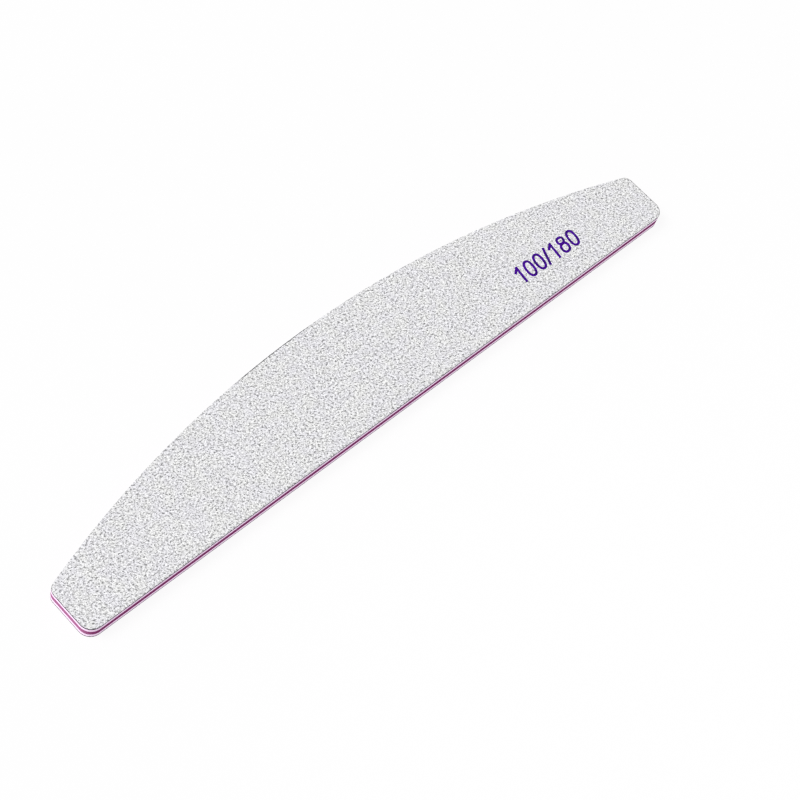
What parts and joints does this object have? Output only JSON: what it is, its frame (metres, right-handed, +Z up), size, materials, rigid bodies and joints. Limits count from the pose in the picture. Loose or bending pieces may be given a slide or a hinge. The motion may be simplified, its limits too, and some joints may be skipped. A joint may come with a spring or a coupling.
{
  "type": "emery board",
  "caption": "Flat half-moon nail file with a straight edge and a curved crown: coarse and fine abrasive paper faces bonded over thin foam pads on a stiff plastic core.",
  "frame": {"origin": "under the middle of the outline's box, on the fine face that the board lies on", "axes": "+X along the length, +Y from the straight edge towards the crown, +Z up out of the coarse face"},
  "size_m": [0.178, 0.028, 0.004],
  "materials": {
    "coarse_abrasive": "coarse abrasive grain, pale grey, matte",
    "fine_abrasive": "fine abrasive grain, pale grey, matte",
    "backing_paper": "dark grey saturated paper, cut edge",
    "adhesive": "thin clear adhesive sheet",
    "foam": "fine-celled white foam, matte",
    "core_plastic": "magenta plastic sheet, cut edge"
  },
  "bodies": {
    "root": {"fine_grit": "fine_abrasive", "fine_paper": "backing_paper", "lower_paper_tape": "adhesive", "lower_foam": "foam", "lower_core_tape": "adhesive", "core_board": "core_plastic", "upper_core_tape": "adhesive", "upper_foam": "foam", "upper_paper_tape": "adhesive", "coarse_paper": "backing_paper", "coarse_grit": "coarse_abrasive"}
  },
  "joints": []
}
